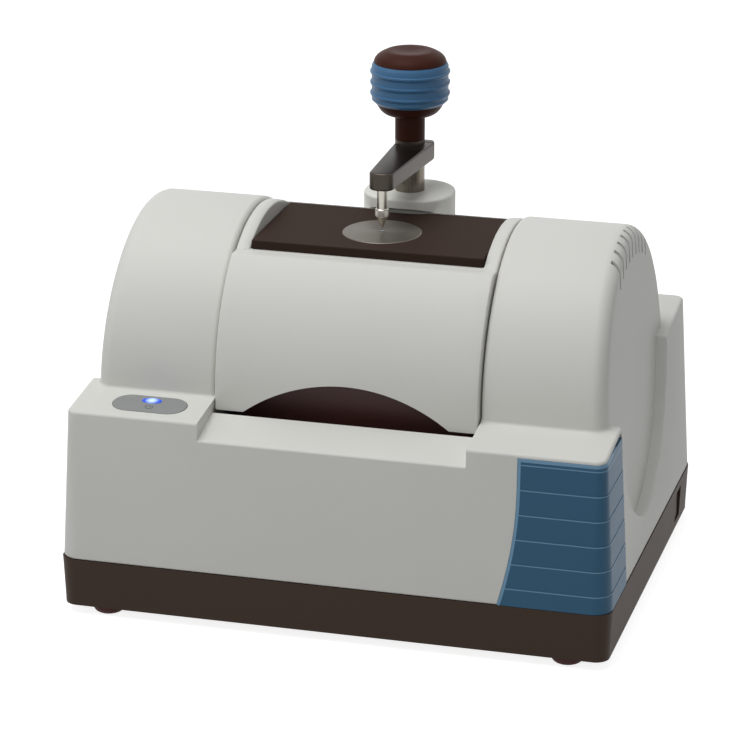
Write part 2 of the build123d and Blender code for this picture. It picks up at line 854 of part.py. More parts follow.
with BuildPart() as accessory_chassis:
    with BuildSketch(Plane.YZ.offset(-chassis_half)):
        with BuildLine():
            Polyline(
                (-chassis_front, chassis_low),
                (-chassis_front, arch_height + 50),
                (-hood_back - 6, deck_top - 18),
                (-plate_front + 6, deck_top - shell_wall - seat_gap),
                (chassis_back, deck_top - shell_wall - seat_gap),
                (chassis_back, chassis_low),
                close=True,
            )
        make_face()
    extrude(amount=2 * chassis_half)
    open_back = accessory_chassis.faces().sort_by(Axis.Y)[-1]
    offset(amount=-chassis_wall, openings=open_back)
    add(beam_bar(18), mode=Mode.SUBTRACT)
save(accessory_chassis.part, "accessory_chassis")

with BuildPart() as transfer_mirrors:
    for side in (-1, 1):
        lean = Plane(
            origin=(side * 46, beam_back, beam_height),
            x_dir=(0, 1, 0),
            z_dir=(side * sin(radians(45)), 0, cos(radians(45))),
        )
        with BuildSketch(lean.offset(-6)):
            Rectangle(44, 56)
        extrude(amount=6)
        with Locations((side * mirror_post_x, beam_back, chassis_low + chassis_wall)):
            Cylinder(mirror_post_radius, mirror_post_top - chassis_low - chassis_wall,
                     align=(Align.CENTER, Align.CENTER, Align.MIN))
save(transfer_mirrors.part, "transfer_mirrors")

# White arch of the accessory, with a rim on each side of the plate
recess_half = plate_width / 2 + plate_gap
with BuildPart() as accessory_housing:
    add(arch_bar(rim_reach, rim_rise, chassis_low, -accessory_half, accessory_half))
    with Locations((0, -hood_back + seat_gap, 0)):
        Box(3 * accessory_half, 200, 2 * cover_cut_top, align=(Align.CENTER, Align.MAX, Align.CENTER),
            mode=Mode.SUBTRACT)
    with Locations((0, plate_back + plate_gap, deck_top)):
        Box(2 * recess_half, 200, 60, align=(Align.CENTER, Align.MAX, Align.MIN), mode=Mode.SUBTRACT)
    rim_edges = edges_where(
        accessory_housing.part,
        lambda c, b: b.max.Z > arch_height + rim_rise - 3 and b.max.X - b.min.X < 1,
    )
    fillet(rim_edges, radius=2.0)
    room = arch_bar(rim_reach - shell_wall, rim_rise - shell_wall, chassis_low - 5,
                    -accessory_half + shell_wall, accessory_half - shell_wall)
    above_deck = Pos(0, 0, deck_top - shell_wall + 50) * Box(400, 2 * (plate_back + plate_gap + 4), 100,
                                                             mode=Mode.PRIVATE)
    add(room - above_deck, mode=Mode.SUBTRACT)
    add(beam_bar(19), mode=Mode.SUBTRACT)
save(accessory_housing.part, "accessory_housing")

# Curved front hood with the finger arch in its lower edge
hood_flat = (deck_top - arch_height) / hood_rise
hood_top_y = arch_y - hood_reach * sqrt(1 - hood_flat ** 2)


def hood_form(shrink, back):
    """The hood's outside, or its room with a wall taken off, from a start behind its back edge."""
    top = deck_top - shrink
    share = (top - arch_height) / (hood_rise - shrink)
    reach = hood_reach - shrink
    start = 180 - degrees(asin(share))
    low = hood_low_height - (5 if shrink else 0)
    half = accessory_half - shrink
    with BuildPart() as form:
        with BuildSketch(Plane.YZ.offset(-half)):
            with BuildLine():
                bow = EllipticalCenterArc((arch_y, arch_height), reach, hood_rise - shrink,
                                          start_angle=start, arc_size=180 - start)
                Polyline(bow @ 1, (arch_y - reach, low), (back, low), (back, top), bow @ 0)
            make_face()
        extrude(amount=2 * half)
    return form.part


with BuildPart() as accessory_cover:
    add(hood_form(0, -hood_back))
    crown = edges_where(
        accessory_cover.part,
        lambda c, b: near(c.Z, deck_top, 0.5) and near(c.Y, hood_top_y, 0.5) and b.max.X - b.min.X > 100,
    )
    fillet(crown, radius=hood_edge_round)
    sides = edges_where(
        accessory_cover.part,
        lambda c, b: b.max.X - b.min.X < 0.5 and b.max.Y < -hood_back + 0.1
        and not near(c.Y, -hood_back, 0.2) and b.min.Z > hood_low_height - 0.5
        and not near(b.max.Z, hood_low_height, 0.2),
    )
    fillet(sides, radius=1.4)
    add(hood_form(hood_wall, -hood_back + 5), mode=Mode.SUBTRACT)
    with BuildSketch(Plane.XZ.offset(hood_back + 15)):
        with BuildLine():
            left = (-finger_half, hood_low_height)
            right = (finger_half, hood_low_height)
            ThreePointArc(left, (0, hood_low_height + finger_rise), right)
            Polyline(right, (finger_half, hood_low_height - 9), (-finger_half, hood_low_height - 9), left)
        make_face()
    extrude(amount=100, mode=Mode.SUBTRACT)
save(accessory_cover.part, "accessory_cover")

# Dark top plate with its seat for the disc and its notch for the tower, steel disc and crystal
disc_y = disc_back
with BuildPart() as top_plate:
    with Locations((0, (plate_back - plate_front) / 2, deck_top + seat_gap)):
        Box(plate_width, plate_front + plate_back, plate_thickness - seat_gap,
            align=(Align.CENTER, Align.CENTER, Align.MIN))
    fillet(top_plate.edges().filter_by(Axis.Z), radius=2)
    chamfer(top_plate.faces().sort_by(Axis.Z)[-1].edges(), length=0.6)
    with BuildSketch(Plane.XY.offset(plate_height - disc_thickness)):
        with Locations((0, disc_y)):
            Circle(disc_radius + running_gap)
    extrude(amount=10, mode=Mode.SUBTRACT)
    with BuildSketch(Plane.XY.offset(deck_top)):
        with Locations((0, tower_back)):
            RectangleRounded(tower_width + 2 * seat_gap, tower_depth + 2 * seat_gap, tower_corner)
    extrude(amount=20, mode=Mode.SUBTRACT)
save(top_plate.part, "top_plate")

with BuildPart() as crystal_disc:
    with BuildSketch(Plane.XZ):
        with BuildLine():
            low = plate_height - disc_thickness
            Polyline(
                (crystal_radius + running_gap, low),
                (disc_radius, low),
                (disc_radius, plate_height),
                (disc_radius - 0.6, plate_height + 0.4),
                (6, plate_height + disc_proud),
                (crystal_radius + running_gap, plate_height + disc_proud),
                close=True,
            )
        make_face()
    revolve(axis=Axis.Z)
disc_solid = crystal_disc.part.moved(Location((0, disc_y, 0)))
save(disc_solid, "crystal_disc")

with BuildPart() as crystal:
    with Locations((0, disc_y, plate_height - disc_thickness)):
        Cylinder(crystal_radius, disc_thickness + disc_proud + crystal_proud,
                 align=(Align.CENTER, Align.CENTER, Align.MIN))
save(crystal.part, "crystal")

# Tower base standing on the arch, and the steel column with its thinner top
with BuildPart() as tower_base:
    with BuildSketch(Plane.XY.offset(arch_height)):
        with Locations((0, tower_back)):
            RectangleRounded(tower_width, tower_depth, tower_corner)
    extrude(amount=tower_height - arch_height)
    fillet(tower_base.faces().sort_by(Axis.Z)[-1].edges(), radius=2.2)
    add(arch_bar(rim_reach + seat_gap, rim_rise + seat_gap, 0, -200, 200), mode=Mode.SUBTRACT)
save(tower_base.part, "tower_base")

arm_top = arm_bottom + arm_thickness + arm_boss_height
spigot_top = arm_top + sleeve_length * 0.7
with BuildPart() as tower_column:
    with Locations((0, tower_back, tower_height)):
        Cylinder(column_radius, arm_bottom - seat_gap - tower_height,
                 align=(Align.CENTER, Align.CENTER, Align.MIN))
        Cylinder(spigot_radius, spigot_top - tower_height, align=(Align.CENTER, Align.CENTER, Align.MIN))
save(tower_column.part, "tower_column")

# Steel arm: straight on the left, flared to a lobe on the right of the column
tip_y = disc_y
nose_y = tip_y - arm_nose_half
with BuildPart() as pressure_arm:
    with BuildSketch(Plane.XY.offset(arm_bottom)) as arm_plan:
        with BuildLine():
            Polyline(
                (-arm_nose_half, nose_y),
                (arm_nose_half, nose_y),
                (arm_lobe_right, tower_back + arm_lobe_front),
                (arm_lobe_right - 2, tower_back + arm_eye_back),
                (-arm_lobe_left, tower_back + arm_eye_back),
                close=True,
            )
        make_face()
        fillet(arm_plan.vertices().sort_by(Axis.Y)[:2], radius=arm_nose_round)
        fillet(arm_plan.vertices().sort_by(Axis.Y)[-3:], radius=arm_lobe_corner)
    extrude(amount=arm_thickness)
    fillet(pressure_arm.faces().sort_by(Axis.Z)[-1].edges(), radius=1.6)
    fillet(pressure_arm.faces().sort_by(Axis.Z)[0].edges(), radius=1.6)
    with BuildSketch(Plane.XY.offset(arm_bottom + arm_thickness)):
        with Locations((0, tower_back)):
            Circle(sleeve_radius)
    extrude(amount=arm_boss_height)
    with BuildSketch(Plane.XY.offset(arm_bottom)):
        with Locations((0, tower_back)):
            Circle(spigot_radius + running_gap)
        with Locations((spigot_radius, tower_back + arm_lobe_front)):
            Rectangle(arm_lobe_right, arm_slit, align=(Align.MIN, Align.CENTER))
    extrude(amount=arm_thickness, mode=Mode.SUBTRACT)
    with BuildSketch(Plane.XY.offset(arm_bottom + arm_thickness)):
        with Locations((0, tower_back)):
            Circle(spigot_radius + running_gap)
    extrude(amount=arm_boss_height, mode=Mode.SUBTRACT)
save(pressure_arm.part, "pressure_arm")

# Pressure pin under the nose, its knurled collar and the cone-shaped tip
collar_top = collar_bottom + collar_height
crystal_top = plate_height + disc_proud + crystal_proud
tip_low = crystal_top + tip_clearance
with BuildPart() as pressure_pin:
    with Locations((0, tip_y, collar_top)):
        Cylinder(pin_radius, arm_bottom - collar_top, align=(Align.CENTER, Align.CENTER, Align.MIN))
save(pressure_pin.part, "pressure_pin")

with BuildPart() as pin_collar:
    with Locations((0, tip_y, collar_bottom)):
        Cylinder(collar_radius, collar_height, align=(Align.CENTER, Align.CENTER, Align.MIN))
    chamfer(pin_collar.edges().filter_by(GeomType.CIRCLE), length=0.6)
save(pin_collar.part, "pin_collar")

with BuildPart() as pin_tip:
    with Locations((0, tip_y, tip_low)):
        Cone(tip_point_radius, collar_radius - 0.8, collar_bottom - tip_low,
             align=(Align.CENTER, Align.CENTER, Align.MIN))
save(pin_tip.part, "pin_tip")

# Dark sleeve above the arm
sleeve_low = arm_top + seat_gap
with BuildPart() as neck_sleeve:
    with Locations((0, tower_back, sleeve_low)):
        Cylinder(sleeve_radius, sleeve_length, align=(Align.CENTER, Align.CENTER, Align.MIN))
        Cylinder(spigot_radius + running_gap, sleeve_length - 2,
                 align=(Align.CENTER, Align.CENTER, Align.MIN), mode=Mode.SUBTRACT)
save(neck_sleeve.part, "neck_sleeve")

# Round knob: black core with a domed, dimpled top, and the blue ribbed grip round it
knob_low = sleeve_low + sleeve_length + seat_gap
knob_top = knob_low + knob_height
grip_low = knob_low + grip_rise
grip_top = grip_low + grip_height
core_radius = knob_radius - grip_thickness
with BuildPart() as knob_core:
    with BuildSketch(Plane.XZ):
        with BuildLine():
            Line((0, knob_low), (sleeve_radius, knob_low))
            Spline((sleeve_radius, knob_low), (knob_radius - 9, knob_low + 2.6), (knob_radius - 3.5, grip_low),
                   tangents=((1, 0), (0.5, 1)))
            Polyline((knob_radius - 3.5, grip_low), (core_radius, grip_low), (core_radius, grip_top),
                     (knob_radius - 1.6, grip_top))
            Spline((knob_radius - 1.6, grip_top), (knob_radius - 9, knob_top - 1.6), (dimple_radius + 5, knob_top),
                   tangents=((-0.2, 1), (-1, 0)))
            Spline((dimple_radius + 5, knob_top), (dimple_radius, knob_top - 0.4), (0, knob_top - dimple_depth),
                   tangents=((-1, 0), (-1, 0)))
            Line((0, knob_top - dimple_depth), (0, knob_low))
        make_face()
    revolve(axis=Axis.Z)
save(knob_core.part.moved(Location((0, tower_back, 0))), "knob_core")

with BuildPart() as knob_grip:
    with BuildSketch(Plane.XZ) as grip_profile:
        with BuildLine():
            inner = core_radius + running_gap
            points = [(knob_radius - 3.0, grip_low + seat_gap)]
            points += [(knob_radius, grip_low + 3.0)]
            middle = (grip_low + grip_top) / 2
            for i in range(-1, 2):
                z = middle + i * grip_ridge_pitch
                points += [
                    (knob_radius, z - 2.4),
                    (knob_radius + grip_ridge, z - 0.2),
                    (knob_radius + grip_ridge, z + 0.9),
                    (knob_radius, z + 1.6),
                ]
            points += [(knob_radius, grip_top - 3.0), (knob_radius - 1.4, grip_top - seat_gap)]
            Polyline(*points)
            Polyline(points[-1], (inner, grip_top - seat_gap), (inner, grip_low + seat_gap), points[0])
        make_face()
    revolve(axis=Axis.Z)
save(knob_grip.part.moved(Location((0, tower_back, 0))), "knob_grip")
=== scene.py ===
# %% [markdown]
# # A bench infrared spectrometer, dressed for its portrait
# The CAD model already holds every rigid piece at its true size. This lesson gives those pieces
# their finishes, and adds the small things that the solids leave out: the mark on the power key,
# the knurling, the socket contacts. Lengths in Blender are metres, in the CAD model's own frame.

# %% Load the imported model
import json
from math import cos, pi, radians, sin

import bmesh
import bpy
from mathutils import Matrix, Vector

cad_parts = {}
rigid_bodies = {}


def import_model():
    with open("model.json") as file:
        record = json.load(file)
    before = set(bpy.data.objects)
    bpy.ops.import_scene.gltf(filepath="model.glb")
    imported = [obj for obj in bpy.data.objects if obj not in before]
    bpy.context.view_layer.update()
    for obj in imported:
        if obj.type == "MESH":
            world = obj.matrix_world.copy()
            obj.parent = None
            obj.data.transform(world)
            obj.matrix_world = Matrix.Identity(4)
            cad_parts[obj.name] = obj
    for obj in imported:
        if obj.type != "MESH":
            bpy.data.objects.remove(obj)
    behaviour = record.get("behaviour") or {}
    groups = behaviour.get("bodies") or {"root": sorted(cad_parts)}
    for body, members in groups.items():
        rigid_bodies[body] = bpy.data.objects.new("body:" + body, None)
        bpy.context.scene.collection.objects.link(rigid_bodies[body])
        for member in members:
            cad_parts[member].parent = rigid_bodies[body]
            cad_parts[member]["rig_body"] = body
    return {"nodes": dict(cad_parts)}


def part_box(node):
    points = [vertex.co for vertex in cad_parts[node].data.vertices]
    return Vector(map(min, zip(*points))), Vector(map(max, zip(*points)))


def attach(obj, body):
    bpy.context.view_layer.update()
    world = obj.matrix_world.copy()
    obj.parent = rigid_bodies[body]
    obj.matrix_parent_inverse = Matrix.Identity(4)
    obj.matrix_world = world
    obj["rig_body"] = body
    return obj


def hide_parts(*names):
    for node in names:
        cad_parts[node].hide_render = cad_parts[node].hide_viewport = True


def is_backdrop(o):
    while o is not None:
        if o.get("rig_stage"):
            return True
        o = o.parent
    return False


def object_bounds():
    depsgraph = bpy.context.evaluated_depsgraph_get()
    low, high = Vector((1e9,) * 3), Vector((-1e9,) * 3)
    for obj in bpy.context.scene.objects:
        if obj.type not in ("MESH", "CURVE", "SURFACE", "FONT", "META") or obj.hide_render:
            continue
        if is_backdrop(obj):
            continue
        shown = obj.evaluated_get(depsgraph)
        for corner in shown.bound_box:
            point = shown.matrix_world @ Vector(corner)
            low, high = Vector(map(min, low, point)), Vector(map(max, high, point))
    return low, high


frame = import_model()
nodes = frame["nodes"]
cad_low, cad_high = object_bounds()
mm = 0.001
print("nodes", len(nodes), "size", [round(v, 3) for v in cad_high - cad_low])

# %% [markdown]
# ## Smooth shading on curved mouldings
# A CAD mesh arrives as triangles that share no corners, so smooth shading alone changes nothing
# on it, and a round moulding would show its facets. For the pieces whose curves are in view, a
# copy with its doubled corners merged is shaded smooth, with sharp edges kept where two faces
# meet at more than a set angle, and stands for its node. Flat and inner pieces stay as they are.

# %% A smooth copy of a CAD node
sharp_angle = radians(28)
merge_distance = 0.004 * mm
curved_pieces = [
    "main_cover", "base_plinth", "corner_panel", "rubber_feet", "accessory_cover",
    "accessory_housing", "top_plate", "crystal_disc", "tower_base", "tower_column", "neck_sleeve",
    "knob_core", "knob_grip", "pressure_arm", "pressure_pin", "pin_collar", "pin_tip",
    "power_key", "status_lamp",
]


def smooth_copy(name):
    """A merged, smooth shaded copy of a CAD node, which it stands for."""
    source = nodes[name]
    mesh = source.data.copy()
    piece = bpy.data.objects.new(name + "_skin", mesh)
    bpy.context.scene.collection.objects.link(piece)
    work = bmesh.new()
    work.from_mesh(mesh)
    bmesh.ops.remove_doubles(work, verts=work.verts, dist=merge_distance)
    for face in work.faces:
        face.smooth = True
    for edge in work.edges:
        if len(edge.link_faces) == 2:
            edge.smooth = edge.calc_face_angle(0) < sharp_angle
    work.to_mesh(mesh)
    work.free()
    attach(piece, source["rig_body"])
    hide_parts(name)
    return piece


skins = {name: smooth_copy(name) for name in curved_pieces}
print("smooth copies", len(skins), "of", len(nodes), "nodes")

# %% [markdown]
# ## A thin joint beside the accessory
# On the real object the accessory's white covers all but touch the arches beside them, and the
# joint is a thin dark line. The solids keep a wider gap, so that they slide out freely. The
# covers' outer edges are drawn out towards the arches here, and a thin gap stays.

# %% Draw out the accessory's edges
edge_start = 97 * mm
edge_move = 3.3 * mm
for name in ("accessory_cover", "accessory_housing"):
    for corner in skins[name].data.vertices:
        if abs(corner.co.x) > edge_start:
            corner.co.x += edge_move if corner.co.x > 0 else -edge_move
print("accessory edges drawn out", round(edge_move / mm, 1), "mm a side")

# %% [markdown]
# ## Shared effects
# Three effects are used by more than one finish. Each is a node group, built once: a fine grain
# as spark erosion leaves on a moulding, a soft wash of colour that keeps a large face from looking
# like flat paint, and fine brushing along one direction. They could be written into each material,
# but a group keeps one place to change them, and each material gives it its own values.

# %% Grain, wash and brushing groups
grain_relief = 0.1 * mm
brush_relief = 0.03 * mm


def new_group(name, inputs, outputs):
    """An empty shader group with named inputs and outputs."""
    tree = bpy.data.node_groups.new(name, "ShaderNodeTree")
    for title, kind, value in inputs:
        socket = tree.interface.new_socket(title, in_out="INPUT", socket_type=kind)
        socket.default_value = value
    for title, kind in outputs:
        tree.interface.new_socket(title, in_out="OUTPUT", socket_type=kind)
    return tree, tree.nodes.new("NodeGroupInput"), tree.nodes.new("NodeGroupOutput")


def grain_group():
    """The grain of a moulding: fine noise as a normal."""
    inputs = [("Scale", "NodeSocketFloat", 900.0), ("Depth", "NodeSocketFloat", 0.1)]
    tree, given, made = new_group("moulded_grain", inputs, [("Normal", "NodeSocketVector")])
    place = tree.nodes.new("ShaderNodeTexCoord")
    noise = tree.nodes.new("ShaderNodeTexNoise")
    noise.inputs["Detail"].default_value = 3
    bump = tree.nodes.new("ShaderNodeBump")
    bump.inputs["Distance"].default_value = grain_relief
    tree.links.new(place.outputs["Object"], noise.inputs["Vector"])
    tree.links.new(given.outputs["Scale"], noise.inputs["Scale"])
    tree.links.new(given.outputs["Depth"], bump.inputs["Strength"])
    tree.links.new(noise.outputs["Fac"], bump.inputs["Height"])
    tree.links.new(bump.outputs["Normal"], made.inputs["Normal"])
    return tree


def wash_group():
    """A slow, faint change between two colours, and a mask for roughness."""
    inputs = [
        ("Low colour", "NodeSocketColor", (0.5, 0.5, 0.5, 1)),
        ("High colour", "NodeSocketColor", (0.6, 0.6, 0.6, 1)),
        ("Scale", "NodeSocketFloat", 9.0),
        ("Low roughness", "NodeSocketFloat", 0.4),
        ("High roughness", "NodeSocketFloat", 0.5),
    ]
    outputs = [("Color", "NodeSocketColor"), ("Roughness", "NodeSocketFloat")]
    tree, given, made = new_group("colour_wash", inputs, outputs)
    place = tree.nodes.new("ShaderNodeTexCoord")
    noise = tree.nodes.new("ShaderNodeTexNoise")
    noise.inputs["Detail"].default_value = 4
    mix = tree.nodes.new("ShaderNodeMix")
    mix.data_type = "RGBA"
    rough = tree.nodes.new("ShaderNodeMapRange")
    tree.links.new(place.outputs["Object"], noise.inputs["Vector"])
    tree.links.new(given.outputs["Scale"], noise.inputs["Scale"])
    tree.links.new(noise.outputs["Fac"], mix.inputs["Factor"])
    tree.links.new(given.outputs["Low colour"], mix.inputs["A"])
    tree.links.new(given.outputs["High colour"], mix.inputs["B"])
    tree.links.new(noise.outputs["Fac"], rough.inputs["Value"])
    tree.links.new(given.outputs["Low roughness"], rough.inputs["To Min"])
    tree.links.new(given.outputs["High roughness"], rough.inputs["To Max"])
    tree.links.new(mix.outputs["Result"], made.inputs["Color"])
    tree.links.new(rough.outputs["Result"], made.inputs["Roughness"])
    return tree


def brushed_group():
    """Fine parallel scratches: noise stretched along one direction of the piece."""
    inputs = [
        ("Stretch", "NodeSocketVector", (30.0, 3000.0, 3000.0)),
        ("Depth", "NodeSocketFloat", 0.2),
    ]
    outputs = [("Mask", "NodeSocketFloat"), ("Normal", "NodeSocketVector")]
    tree, given, made = new_group("brushed_metal", inputs, outputs)
    place = tree.nodes.new("ShaderNodeTexCoord")
    scale = tree.nodes.new("ShaderNodeVectorMath")
    scale.operation = "MULTIPLY"
    noise = tree.nodes.new("ShaderNodeTexNoise")
    noise.inputs["Scale"].default_value = 1
    noise.inputs["Detail"].default_value = 2
    bump = tree.nodes.new("ShaderNodeBump")
    bump.inputs["Distance"].default_value = brush_relief
    tree.links.new(place.outputs["Object"], scale.inputs[0])
    tree.links.new(given.outputs["Stretch"], scale.inputs[1])
    tree.links.new(scale.outputs["Vector"], noise.inputs["Vector"])
    tree.links.new(noise.outputs["Fac"], made.inputs["Mask"])
    tree.links.new(noise.outputs["Fac"], bump.inputs["Height"])
    tree.links.new(given.outputs["Depth"], bump.inputs["Strength"])
    tree.links.new(bump.outputs["Normal"], made.inputs["Normal"])
    return tree


grain, wash, brushed = grain_group(), wash_group(), brushed_group()
print("groups", [tree.name for tree in (grain, wash, brushed)])

# %% [markdown]
# ## Finishes
# Each finish is a Principled material. Colours are written as a screen shows them, from 0 to 255,
# and turned into Blender's linear values by one helper, so that they are easy to judge by eye.
# Roughness drifts a little about its value, because no real surface is even.

# %% Helpers for plastic and metal
wash_spread = 0.04
brush_spread = 0.07
along_x = (30.0, 3000.0, 3000.0)
along_y = (3000.0, 30.0, 3000.0)
along_z = (2000.0, 2000.0, 40.0)


def colour(red, green, blue):
    """A colour as read on a screen, as Blender's linear values."""
    def linear(value):
        share = value / 255
        return share / 12.92 if share <= 0.04045 else ((share + 0.055) / 1.055) ** 2.4
    return (linear(red), linear(green), linear(blue), 1)


def start_material(name):
    """A new material with its tree and its Principled shader."""
    material = bpy.data.materials.new(name)
    material.use_nodes = True
    return material, material.node_tree, material.node_tree.nodes["Principled BSDF"]


def place_group(tree, group, **values):
    """A group in a material, with its values; underscores stand for spaces."""
    node = tree.nodes.new("ShaderNodeGroup")
    node.node_tree = group
    for title, value in values.items():
        node.inputs[title.replace("_", " ")].default_value = value
    return node


def plastic(name, low, high, roughness, grain_scale=900.0, grain_depth=0.12, specular=0.5):
    """Moulded plastic: a faint wash of colour under a fine grain."""
    material, tree, shader = start_material(name)
    tint = place_group(
        tree, wash, Low_colour=low, High_colour=high,
        Low_roughness=roughness - wash_spread, High_roughness=roughness + wash_spread,
    )
    texture = place_group(tree, grain, Scale=grain_scale, Depth=grain_depth)
    tree.links.new(tint.outputs["Color"], shader.inputs["Base Color"])
    tree.links.new(tint.outputs["Roughness"], shader.inputs["Roughness"])
    tree.links.new(texture.outputs["Normal"], shader.inputs["Normal"])
    shader.inputs["Specular IOR Level"].default_value = specular
    return material


def metal(name, low, high, roughness, stretch=along_x, depth=0.2):
    """Bare metal with fine brushing along the direction of the smallest stretch."""
    material, tree, shader = start_material(name)
    lines = place_group(tree, brushed, Stretch=stretch, Depth=depth)
    tint = tree.nodes.new("ShaderNodeMix")
    tint.data_type = "RGBA"
    tint.inputs["A"].default_value = low
    tint.inputs["B"].default_value = high
    rough = tree.nodes.new("ShaderNodeMapRange")
    rough.inputs["To Min"].default_value = roughness - brush_spread
    rough.inputs["To Max"].default_value = roughness + brush_spread
    tree.links.new(lines.outputs["Mask"], tint.inputs["Factor"])
    tree.links.new(lines.outputs["Mask"], rough.inputs["Value"])
    tree.links.new(tint.outputs["Result"], shader.inputs["Base Color"])
    tree.links.new(rough.outputs["Result"], shader.inputs["Roughness"])
    tree.links.new(lines.outputs["Normal"], shader.inputs["Normal"])
    shader.inputs["Metallic"].default_value = 1
    return material


print("a screen's 128 is", round(colour(128, 128, 128)[0], 3), "in linear light")

# %% [markdown]
# ## Plastics
# The white covers are a satin moulding with little shine, so that their tops don't turn to glare.
# The dark pieces have a coarser grain. Each colour is a pair, and the wash drifts between the two.

# %% Mix the plastics
cover_white = plastic(
    "cover_white", colour(213, 213, 208), colour(219, 219, 214), 0.5, specular=0.28
)
tower_white = plastic(
    "tower_white", colour(226, 226, 220), colour(232, 232, 226), 0.48, specular=0.3
)
base_dark = plastic("base_dark", colour(55, 42, 33), colour(62, 47, 38), 0.58, 600.0, 0.3, 0.2)
tray_dark = plastic("tray_dark", colour(70, 38, 29), colour(77, 43, 33), 0.6, 600.0, 0.3, 0.2)
feet_rubber = plastic("feet_rubber", colour(62, 30, 27), colour(72, 37, 33), 0.62, 500.0, 0.3, 0.3)
grip_blue = plastic("grip_blue", colour(57, 101, 139), colour(64, 109, 148), 0.42, 700.0, 0.2, 0.3)
key_grey = plastic("key_grey", colour(136, 138, 138), colour(143, 145, 145), 0.38)
knob_black = plastic("knob_black", colour(58, 29, 21), colour(65, 34, 25), 0.42, 800.0, 0.1, 0.06)
plate_black = plastic(
    "plate_black", colour(50, 38, 32), colour(57, 44, 38), 0.66, 1400.0, 0.35, 0.05
)
chassis_dark = plastic("chassis_dark", colour(62, 30, 25), colour(70, 34, 28), 0.5, 700.0, 0.2)
board_green = plastic("board_green", colour(28, 78, 52), colour(33, 88, 58), 0.4, 500.0, 0.2)
socket_black = plastic("socket_black", colour(34, 33, 33), colour(40, 39, 38), 0.4, 700.0, 0.2)
print("plastics", len(bpy.data.materials))

# %% [markdown]
# ## Metals
# The arm is brushed along its length and the column and pin along theirs, as the tools that made
# them moved. The mirrors are gold, as infrared mirrors often are, and have almost no brushing.

# %% Mix the metals
arm_steel = metal("arm_steel", colour(62, 57, 52), colour(76, 70, 64), 0.34, along_y)
column_steel = metal("column_steel", colour(108, 102, 92), colour(128, 121, 110), 0.28, along_z)
pin_steel = metal("pin_steel", colour(170, 166, 158), colour(196, 192, 184), 0.25, along_z)
bare_aluminium = metal("bare_aluminium", colour(176, 177, 178), colour(200, 201, 202), 0.38)
inner_steel = metal("inner_steel", colour(146, 146, 144), colour(172, 172, 170), 0.34)
mirror_gold = metal("mirror_gold", colour(236, 204, 140), colour(242, 212, 150), 0.09, depth=0.03)
print("plastics and metals", len(bpy.data.materials))

# %% [markdown]
# ## The blue panel
# Four finishes need a pattern of their own. Each reads Object coordinates, which are the CAD frame,
# so its pattern has a true place in millimetres. The first is the corner panel's.
#
# The panel is moulded as lapped bands, and a thin painted highlight runs along the top of each,
# where its edge would catch the light. A painted highlight also runs along its top and its left
# edge, which bows outwards towards the foot. The highlights could be painted on as a texture; here
# they are worked out from height, width and depth with a few Math nodes, so they stay crisp at any
# distance.

# %% Paint the bands and the rim
band_join = 20.25 * mm
first_line = 62.9 * mm
highlight_height = 0.9 * mm
rim_highlight_width = 2.4 * mm
platform_rise = 0.10687
panel_top = 186.64 * mm
panel_left = 149.3 * mm
flare_top = 143.9 * mm
flare_bow = 1.5009
# painted highlight colours: the light band lines and the light rim stand in for light caught on
# edges
band_highlight_blue = colour(112, 150, 178)
rim_highlight_blue = colour(118, 158, 188)


def step(tree, operation, *values):
    """One Math node on sockets or numbers, as its output socket."""
    node = tree.nodes.new("ShaderNodeMath")
    node.operation = operation
    for given, value in zip(node.inputs, values):
        if isinstance(value, (int, float)):
            given.default_value = value
        else:
            tree.links.new(value, given)
    return node.outputs["Value"]


def mixed(tree, mask, plain, marked):
    """A socket's colour where the mask is 0, and a set colour where it is 1."""
    node = tree.nodes.new("ShaderNodeMix")
    node.data_type = "RGBA"
    node.inputs["B"].default_value = marked
    tree.links.new(mask, node.inputs["Factor"])
    tree.links.new(plain, node.inputs["A"])
    return node.outputs["Result"]


def sum_of(tree, start, first, first_share, second, second_share):
    """A start value plus a share of each of two sockets."""
    part = step(tree, "MULTIPLY_ADD", first, first_share, start)
    return step(tree, "MULTIPLY_ADD", second, second_share, part)


def banded_blue():
    """Blue plastic with painted highlights along the top of each band and its top and left rim."""
    material, tree, shader = start_material("panel_blue")
    tint = place_group(
        tree, wash, Low_colour=colour(44, 88, 116), High_colour=colour(49, 94, 124),
        Low_roughness=0.4, High_roughness=0.48,
    )
    texture = place_group(tree, grain, Scale=900.0, Depth=0.12)
    place = tree.nodes.new("ShaderNodeTexCoord")
    split = tree.nodes.new("ShaderNodeSeparateXYZ")
    tree.links.new(place.outputs["Object"], split.inputs["Vector"])
    across, back, height = (split.outputs[axis] for axis in "XYZ")
    above_joint = step(tree, "SUBTRACT", height, first_line - band_join)
    in_band = step(tree, "MODULO", above_joint, band_join)
    # painted highlight: a light line along the top of each band
    on_highlight = step(tree, "GREATER_THAN", in_band, band_join - highlight_height)
    band_highlighted = mixed(tree, on_highlight, tint.outputs["Color"], band_highlight_blue)
    below_top = sum_of(tree, panel_top, back, platform_rise, height, -1)
    flare = step(tree, "MAXIMUM", step(tree, "SUBTRACT", flare_top, height), 0)
    bow = step(tree, "MULTIPLY", step(tree, "MULTIPLY", flare, flare), flare_bow)
    from_left = sum_of(tree, -panel_left, bow, 1, across, 1)
    # painted highlight: a light strip along the panel's top and left edge
    in_rim_highlight = step(tree, "LESS_THAN", step(tree, "MINIMUM", below_top, from_left), rim_highlight_width)
    rim_highlighted = mixed(tree, in_rim_highlight, band_highlighted, rim_highlight_blue)
    tree.links.new(rim_highlighted, shader.inputs["Base Color"])
    tree.links.new(tint.outputs["Roughness"], shader.inputs["Roughness"])
    tree.links.new(texture.outputs["Normal"], shader.inputs["Normal"])
    shader.inputs["Specular IOR Level"].default_value = 0.25
    return material


panel_blue = banded_blue()
print("panel bands", round((panel_top - first_line) / band_join, 1))

